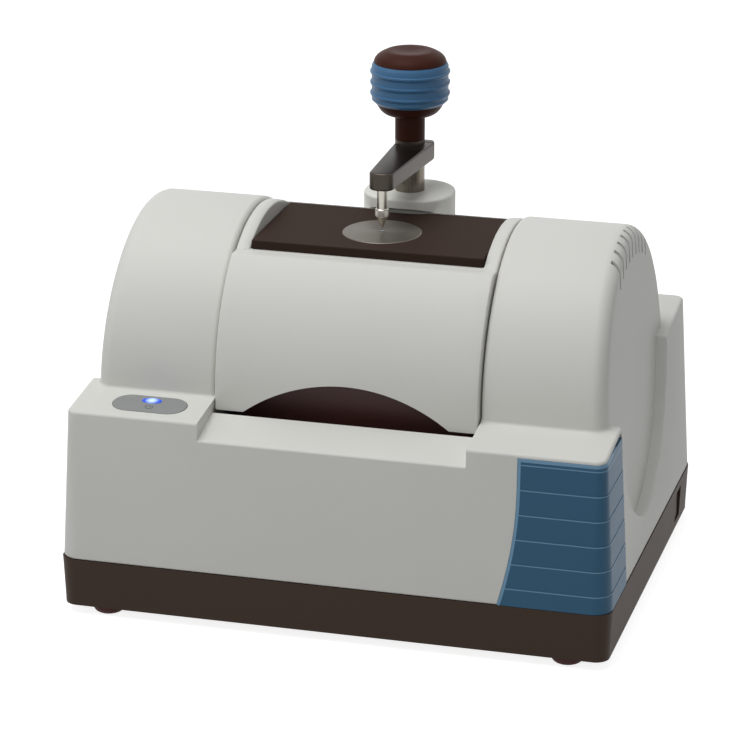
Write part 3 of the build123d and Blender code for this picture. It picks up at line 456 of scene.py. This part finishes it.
# %% [markdown]
# ## The turned disc
# The steel disc was faced on a lathe, which leaves fine rings about its centre. They scatter light
# along each radius only, and that draws the soft wedges one sees on such a disc. The shader's
# anisotropy could do it, but it needs a tangent at every point. Small rings in the bump are simpler
# and come close.

# %% Face the disc
ring_scale = 700
ring_relief = 0.09 * mm


def middle(name):
    """The middle of a CAD node's box."""
    low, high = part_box(name)
    return (low + high) / 2


def turned_steel(centre):
    """Steel faced on a lathe: fine rings about the middle of the disc."""
    material, tree, shader = start_material("disc_steel")
    place = tree.nodes.new("ShaderNodeTexCoord")
    shift = tree.nodes.new("ShaderNodeMapping")
    shift.inputs["Location"].default_value = (-centre.x, -centre.y, 0)
    rings = tree.nodes.new("ShaderNodeTexWave")
    rings.wave_type = "RINGS"
    rings.rings_direction = "Z"
    rings.inputs["Scale"].default_value = ring_scale
    rings.inputs["Distortion"].default_value = 0.4
    groove = tree.nodes.new("ShaderNodeBump")
    groove.inputs["Strength"].default_value = 0.5
    groove.inputs["Distance"].default_value = ring_relief
    tree.links.new(rings.outputs["Fac"], groove.inputs["Height"])
    tree.links.new(groove.outputs["Normal"], shader.inputs["Normal"])
    tint = tree.nodes.new("ShaderNodeMix")
    tint.data_type = "RGBA"
    tint.inputs["A"].default_value = colour(96, 90, 82)
    tint.inputs["B"].default_value = colour(124, 118, 109)
    rough = tree.nodes.new("ShaderNodeMapRange")
    rough.inputs["To Min"].default_value = 0.3
    rough.inputs["To Max"].default_value = 0.42
    tree.links.new(place.outputs["Object"], shift.inputs["Vector"])
    tree.links.new(shift.outputs["Vector"], rings.inputs["Vector"])
    tree.links.new(rings.outputs["Fac"], tint.inputs["Factor"])
    tree.links.new(rings.outputs["Fac"], rough.inputs["Value"])
    tree.links.new(tint.outputs["Result"], shader.inputs["Base Color"])
    tree.links.new(rough.outputs["Result"], shader.inputs["Roughness"])
    shader.inputs["Metallic"].default_value = 1
    return material


disc_steel = turned_steel(middle("crystal_disc"))
print("disc middle", [round(v / mm, 1) for v in middle("crystal_disc")], "mm")

# %% [markdown]
# ## The lamp and the clear pieces
# The lamp is a small blue lens lit from behind. A real light behind real glass would be slow and
# noisy, so its colour and its glow run from pale in the middle to deep blue at the rim. The
# crystal, the windows and the beamsplitter let light through, and bend it as such crystals do.

# %% Light the lamp and clear the crystal
bright_reach = 1.0 * mm
dark_reach = 6.0 * mm


def glowing_lens(centre):
    """A blue lens lit from behind: brightest over the light, darker at its rim."""
    material, tree, shader = start_material("lamp_lens")
    place = tree.nodes.new("ShaderNodeTexCoord")
    away = tree.nodes.new("ShaderNodeVectorMath")
    away.operation = "DISTANCE"
    away.inputs[1].default_value = centre
    near = tree.nodes.new("ShaderNodeMapRange")
    near.inputs["From Min"].default_value = bright_reach
    near.inputs["From Max"].default_value = dark_reach
    near.inputs["To Min"].default_value = 1
    near.inputs["To Max"].default_value = 0
    tint = tree.nodes.new("ShaderNodeMix")
    tint.data_type = "RGBA"
    tint.inputs["A"].default_value = colour(30, 72, 190)
    tint.inputs["B"].default_value = colour(196, 222, 255)
    tree.links.new(place.outputs["Object"], away.inputs[0])
    tree.links.new(away.outputs["Value"], near.inputs["Value"])
    tree.links.new(near.outputs["Result"], tint.inputs["Factor"])
    tree.links.new(tint.outputs["Result"], shader.inputs["Base Color"])
    tree.links.new(tint.outputs["Result"], shader.inputs["Emission Color"])
    shader.inputs["Emission Strength"].default_value = 0.7
    shader.inputs["Roughness"].default_value = 0.2
    return material


def clear_crystal():
    """A polished crystal, faintly cool, with a trace of cloud in its colour."""
    material, tree, shader = start_material("crystal_clear")
    tint = place_group(
        tree, wash, Low_colour=colour(214, 222, 230), High_colour=colour(230, 236, 242),
        Low_roughness=0.03, High_roughness=0.07,
    )
    tree.links.new(tint.outputs["Color"], shader.inputs["Base Color"])
    tree.links.new(tint.outputs["Roughness"], shader.inputs["Roughness"])
    shader.inputs["Transmission Weight"].default_value = 0.85
    shader.inputs["IOR"].default_value = 2.0
    return material


lamp_lens = glowing_lens(middle("status_lamp"))
crystal_clear = clear_crystal()
print("finishes in all", len(bpy.data.materials))

# %% [markdown]
# ## Which piece has which finish
# Each piece could be given its material where it is made. One list of finishes is easier to read,
# and a finish can be changed in one place. Where a smooth copy stands for a node, the copy gets it.

# %% Assign the finishes
finish_of = {
    cover_white: ["main_cover", "accessory_cover", "accessory_housing"],
    tower_white: ["tower_base"],
    base_dark: ["base_plinth"],
    tray_dark: ["bay_tray"],
    feet_rubber: ["rubber_feet"],
    panel_blue: ["corner_panel"],
    grip_blue: ["knob_grip"],
    key_grey: ["power_key"],
    lamp_lens: ["status_lamp"],
    knob_black: ["knob_core", "neck_sleeve"],
    plate_black: ["top_plate"],
    chassis_dark: ["accessory_chassis", "accessory_base"],
    board_green: ["electronics_board"],
    socket_black: ["power_inlet", "data_port", "socket_plate"],
    arm_steel: ["pressure_arm"],
    column_steel: ["tower_column"],
    pin_steel: ["pressure_pin", "pin_collar", "pin_tip"],
    disc_steel: ["crystal_disc"],
    crystal_clear: ["crystal", "bay_windows", "beamsplitter"],
    bare_aluminium: ["optics_plate", "plate_pillars", "beamsplitter_mount", "guide_rods",
                     "mirror_carriage", "source_housing", "detector"],
    inner_steel: ["ir_source", "drive_magnet", "reference_laser", "cover_screws"],
    mirror_gold: ["moving_mirror", "fixed_mirror", "detector_mirror", "transfer_mirrors"],
}
for material, names in finish_of.items():
    for name in names:
        piece = skins.get(name, nodes[name])
        piece.data.materials.clear()
        piece.data.materials.append(material)
finished = sum(len(names) for names in finish_of.values())
print("pieces with a finish", finished, "of", len(nodes))

# %% [markdown]
# ## The mark on the power key
# A general mark for power, an open ring with a bar through its gap, is printed on the key. A
# texture could hold it, but a thin raised shape stays crisp at any distance. It is drawn flat, as
# strips with a little height, and then laid on the key's sloping top by one matrix.

# %% Print the power mark
key_slope = radians(6.1)
key_middle = Vector((-155.5, -143.0, 175.05)) * mm
mark_place = Vector((1.0, -5.4, 0.0)) * mm
mark_radius = 2.9 * mm
mark_line = 0.6 * mm
mark_height = 0.12 * mm
ring_gap = radians(35)
ring_parts = 40
bar_reach = (0.15, 0.6, 1.25)


def mesh_piece(name, work, material, body):
    """A finished bmesh as a piece that rides on a body, in a given finish."""
    bmesh.ops.recalc_face_normals(work, faces=work.faces)
    mesh = bpy.data.meshes.new(name)
    work.to_mesh(mesh)
    work.free()
    mesh.materials.append(material)
    piece = bpy.data.objects.new(name, mesh)
    bpy.context.scene.collection.objects.link(piece)
    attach(piece, body)
    return piece


def strip(work, points, width, height):
    """A closed, flat-topped strip of one width along points in the plane z = 0."""
    rings = []
    for i, point in enumerate(points):
        before, after = points[max(i - 1, 0)], points[min(i + 1, len(points) - 1)]
        way = (after - before).normalized()
        aside = Vector((-way.y, way.x, 0)) * width / 2
        up = Vector((0, 0, height))
        corners = (point + aside, point - aside, point - aside + up, point + aside + up)
        rings.append([work.verts.new(corner) for corner in corners])
    for one, two in zip(rings, rings[1:]):
        for k in range(4):
            work.faces.new((one[k], one[(k + 1) % 4], two[(k + 1) % 4], two[k]))
    work.faces.new(rings[0])
    work.faces.new(rings[-1])


mark_paint = plastic("mark_paint", colour(64, 68, 74), colour(70, 74, 80), 0.45)
work = bmesh.new()
part_turn = (2 * pi - 2 * ring_gap) / ring_parts
turns = [pi / 2 + ring_gap + i * part_turn for i in range(ring_parts + 1)]
strip(work, [Vector((cos(t), sin(t), 0)) * mark_radius for t in turns], mark_line, mark_height)
strip(work, [Vector((0, y, 0)) * mark_radius for y in bar_reach], mark_line, mark_height)
laid = Matrix.Translation(key_middle) @ Matrix.Rotation(key_slope, 4, "X")
laid = laid @ Matrix.Translation(mark_place)
bmesh.ops.transform(work, matrix=laid, verts=work.verts)
power_mark = mesh_piece("power_mark", work, mark_paint, "key")
print("power mark faces", len(power_mark.data.polygons))

# %% [markdown]
# ## Knurling on the collar
# The collar that grips the pin is knurled, so that fingers can turn it. Knurling is one small
# ridge repeated round a circle, which is what Geometry Nodes do well: a circle of points, one
# ridge on each, turned to face outwards. The result becomes a plain mesh for the part.

# %% Knurl the collar
ridge_sink = 0.05 * mm
collar_low, collar_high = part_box("pin_collar")
collar_middle = (collar_low + collar_high) / 2
collar_radius = (collar_high.x - collar_low.x) / 2


def knurl_tree():
    """Ridges round an upright circle, with named sizes."""
    tree = bpy.data.node_groups.new("knurl", "GeometryNodeTree")
    tree.interface.new_socket("Geometry", in_out="OUTPUT", socket_type="NodeSocketGeometry")
    for title, kind, value in (
        ("Count", "NodeSocketInt", 34),
        ("Radius", "NodeSocketFloat", 5.4 * mm),
        ("Height", "NodeSocketFloat", 5.0 * mm),
        ("Ridge", "NodeSocketFloat", 0.62 * mm),
    ):
        tree.interface.new_socket(title, in_out="INPUT", socket_type=kind).default_value = value
    given, made = tree.nodes.new("NodeGroupInput"), tree.nodes.new("NodeGroupOutput")
    circle = tree.nodes.new("GeometryNodeMeshCircle")
    ridge = tree.nodes.new("GeometryNodeMeshCube")
    size = tree.nodes.new("ShaderNodeCombineXYZ")
    turn = tree.nodes.new("GeometryNodeTransform")
    turn.inputs["Rotation"].default_value = (0, 0, pi / 4)
    facing = tree.nodes.new("FunctionNodeAlignEulerToVector")
    facing.axis = "X"
    facing.pivot_axis = "Z"
    where = tree.nodes.new("GeometryNodeInputPosition")
    spread = tree.nodes.new("GeometryNodeInstanceOnPoints")
    solid = tree.nodes.new("GeometryNodeRealizeInstances")
    paint = tree.nodes.new("GeometryNodeSetMaterial")
    paint.inputs["Material"].default_value = pin_steel
    link = tree.links.new
    link(given.outputs["Count"], circle.inputs["Vertices"])
    link(given.outputs["Radius"], circle.inputs["Radius"])
    for axis in ("X", "Y"):
        link(given.outputs["Ridge"], size.inputs[axis])
    link(given.outputs["Height"], size.inputs["Z"])
    link(size.outputs["Vector"], ridge.inputs["Size"])
    link(ridge.outputs["Mesh"], turn.inputs["Geometry"])
    link(where.outputs["Position"], facing.inputs["Vector"])
    link(circle.outputs["Mesh"], spread.inputs["Points"])
    link(turn.outputs["Geometry"], spread.inputs["Instance"])
    link(facing.outputs["Rotation"], spread.inputs["Rotation"])
    link(spread.outputs["Instances"], solid.inputs["Geometry"])
    link(solid.outputs["Geometry"], paint.inputs["Geometry"])
    link(paint.outputs["Geometry"], made.inputs["Geometry"])
    return tree


def made_plain(name, tree, values, place, body):
    """The mesh that a Geometry Nodes tree makes, as a plain piece at its place."""
    holder = bpy.data.objects.new(name + "_tree", bpy.data.meshes.new(name + "_tree"))
    bpy.context.scene.collection.objects.link(holder)
    modifier = holder.modifiers.new("make", "NODES")
    modifier.node_group = tree
    for item in tree.interface.items_tree:
        if item.item_type == "SOCKET" and item.in_out == "INPUT" and item.name in values:
            modifier[item.identifier] = values[item.name]
    evaluated = holder.evaluated_get(bpy.context.evaluated_depsgraph_get())
    mesh = bpy.data.meshes.new_from_object(evaluated)
    bpy.data.objects.remove(holder)
    mesh.transform(Matrix.Translation(place))
    piece = bpy.data.objects.new(name, mesh)
    bpy.context.scene.collection.objects.link(piece)
    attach(piece, body)
    return piece


knurl = made_plain(
    "collar_knurl", knurl_tree(), {"Radius": collar_radius - ridge_sink}, collar_middle,
    "arm",
)
print("knurl ridges", len(knurl.data.polygons) // 6)

# %% [markdown]
# ## Contacts in the sockets
# The two sockets in the back are plain wells in the CAD model. Their contacts are small blocks
# that stand out of the well's floor. One helper makes them from a middle and a size.

# %% Stand the contacts in the sockets
contact_depth = 9.5 * mm
contact_edge = 0.2 * mm
inlet_middle, port_middle = middle("power_inlet"), middle("data_port")
socket_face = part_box("power_inlet")[1].y


def contact(name, centre, size):
    """A small block with eased edges that stands out of a socket's floor."""
    work = bmesh.new()
    bmesh.ops.create_cube(work, size=1)
    spot = Vector((centre.x, socket_face - contact_depth, centre.z))
    shape = Matrix.Translation(spot) @ Matrix.Diagonal((*[v * mm for v in size], 1))
    bmesh.ops.transform(work, matrix=shape, verts=work.verts)
    bmesh.ops.bevel(work, geom=work.edges[:], offset=contact_edge, segments=2, affect="EDGES")
    return mesh_piece(name, work, pin_steel, "instrument")


inlet_pins = contact("inlet_pins", inlet_middle, (2.0, 9, 2.0))
port_tongue = contact("port_tongue", port_middle, (5.5, 9, 1.8))
print("contacts", len(inlet_pins.data.polygons) + len(port_tongue.data.polygons), "faces")

# %% [markdown]
# ## Floor and sky
# The object stands on a pale floor under a pale sky. A floor bright enough to look white throws
# too much light up the object's sides. So floor and sky look white only to the camera, and
# in a gloss or through glass, which the Light Path node tells apart, and light the object less.

# %% Lay the floor and set the sky
floor_reach = 6.0
floor_lift = 0.85
sky_light = 0.28


def seen_directly(tree):
    """A mask that is 1 for what the camera sees, also in a gloss or through glass."""
    ray = tree.nodes.new("ShaderNodeLightPath")
    gloss, glass = ray.outputs["Is Glossy Ray"], ray.outputs["Is Transmission Ray"]
    return step(tree, "MAXIMUM", ray.outputs["Is Camera Ray"], step(tree, "MAXIMUM", gloss, glass))


floor_mesh = bpy.data.meshes.new("floor")
floor_signs = ((-1, -1), (1, -1), (1, 1), (-1, 1))
floor_corners = [(x * floor_reach, y * floor_reach, 0) for x, y in floor_signs]
floor_mesh.from_pydata(floor_corners, [], [(0, 1, 2, 3)])
floor = bpy.data.objects.new("floor", floor_mesh)
bpy.context.scene.collection.objects.link(floor)
floor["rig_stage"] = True
floor_paint, floor_tree, floor_shader = start_material("floor_paint")
floor_shader.inputs["Base Color"].default_value = colour(190, 190, 190)
floor_shader.inputs["Roughness"].default_value = 0.9
floor_shader.inputs["Emission Color"].default_value = (1, 1, 1, 1)
floor_glow = step(floor_tree, "MULTIPLY", seen_directly(floor_tree), floor_lift)
floor_tree.links.new(floor_glow, floor_shader.inputs["Emission Strength"])
floor_mesh.materials.append(floor_paint)

world = bpy.data.worlds.new("pale_sky")
world.use_nodes = True
bpy.context.scene.world = world
sky = world.node_tree.nodes["Background"]
sky.inputs["Color"].default_value = (1, 1, 1, 1)
level = world.node_tree.nodes.new("ShaderNodeMapRange")
level.inputs["To Min"].default_value = sky_light
level.inputs["To Max"].default_value = 1.0
world.node_tree.links.new(seen_directly(world.node_tree), level.inputs["Value"])
world.node_tree.links.new(level.outputs["Result"], sky.inputs["Strength"])
print("sky lights at", sky_light)

# %% [markdown]
# ## Lamps
# Two large soft lamps light the object as a studio would: a strong one above and a little in front,
# and a weaker one from the left. The right side is left to the sky, so it falls into soft shade.

# %% Hang the lamps
lamp_aim = Vector((0, 0, 0.2))
lamps = {
    "over_lamp": ((-0.4, -0.5, 2.4), 1.6, 34),
    "left_lamp": ((-2.2, -1.6, 1.5), 1.4, 9),
}


def soft_lamp(name, place, width, power):
    """A large square lamp that faces the object."""
    lamp = bpy.data.lights.new(name, "AREA")
    lamp.shape = "SQUARE"
    lamp.size = width
    lamp.energy = power
    holder = bpy.data.objects.new(name, lamp)
    holder.location = place
    holder.rotation_euler = (lamp_aim - Vector(place)).to_track_quat("-Z", "Y").to_euler()
    bpy.context.scene.collection.objects.link(holder)


for name, (place, width, power) in lamps.items():
    soft_lamp(name, place, width, power)
print("lamps", len(lamps))

# %% [markdown]
# ## Camera
# The camera stands where the photographer stood. Its direction, distance and lens were worked out
# from the object's own straight edges. The lens is given in pixels of the frame, and a sensor width
# turns it into the millimetres that Blender asks for.

# %% Place the camera
frame_width = 750
focal_pixels = 3384
sensor = 36.0
camera_place = Vector((0.6790, -2.5251, 1.0978))
camera_azimuth = radians(15.254)
camera_elevation = radians(19.639)

lens = bpy.data.cameras.new("photographer")
lens.sensor_width = sensor
lens.lens = focal_pixels / frame_width * sensor
lens.clip_end = 20
camera = bpy.data.objects.new("photographer", lens)
camera.location = camera_place
forward = Vector((
    -sin(camera_azimuth) * cos(camera_elevation),
    cos(camera_azimuth) * cos(camera_elevation),
    -sin(camera_elevation),
))
camera.rotation_euler = forward.to_track_quat("-Z", "Y").to_euler()
bpy.context.scene.collection.objects.link(camera)
bpy.context.scene.camera = camera
bpy.context.scene.view_settings.view_transform = "Standard"
print("lens", round(lens.lens, 1), "mm")

# %% [markdown]
# ## Keep the size honest
# The dressed model may not outgrow the CAD model, so the growth of its box over the CAD model's box
# is written out. The boxes could be compared by eye in a render, but numbers show a difference too
# small to see.

# %% Write the growth of the box and finish
bpy.context.view_layer.update()
made_low, made_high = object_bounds()
grown = (made_high - made_low) - (cad_high - cad_low)
print("grown by", [round(v / mm, 2) for v in grown])
